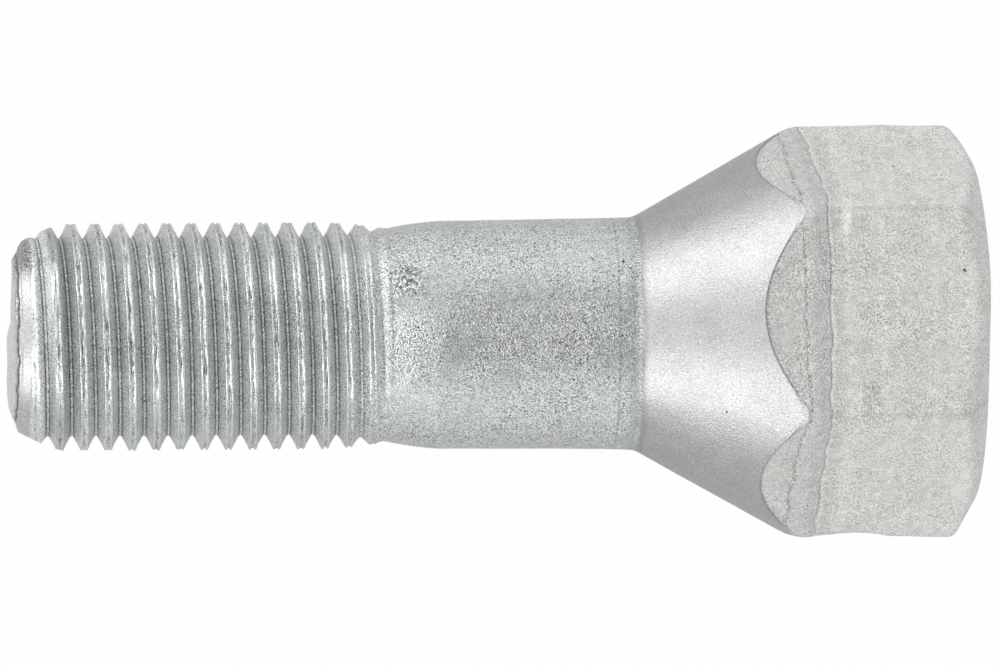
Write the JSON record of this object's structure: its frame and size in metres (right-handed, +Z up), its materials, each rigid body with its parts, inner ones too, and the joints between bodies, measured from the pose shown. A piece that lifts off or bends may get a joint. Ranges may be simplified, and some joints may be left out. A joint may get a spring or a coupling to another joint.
{
  "type": "wheel bolt",
  "caption": "Hexagon-head wheel bolt with a conical seat, plain shank and rolled fine thread, lying on a flat of its head.",
  "frame": {"origin": "on the floor under the middle of the bolt, as it lies at rest on one flat of the head and on the first full turn of the thread", "axes": "+X towards the head, level; the bolt's own axis runs from the thread's end up to the head at 5.8 degrees to +X in the XZ plane; +Z up; +Y completes the right-handed frame"},
  "size_m": [0.0512, 0.0214, 0.02],
  "materials": {
    "zinc_coated_steel": "satin zinc coating with a faint green cast, fine grain and small handling marks"
  },
  "bodies": {
    "root": {"wheel_bolt": "zinc_coated_steel"}
  },
  "joints": []
}
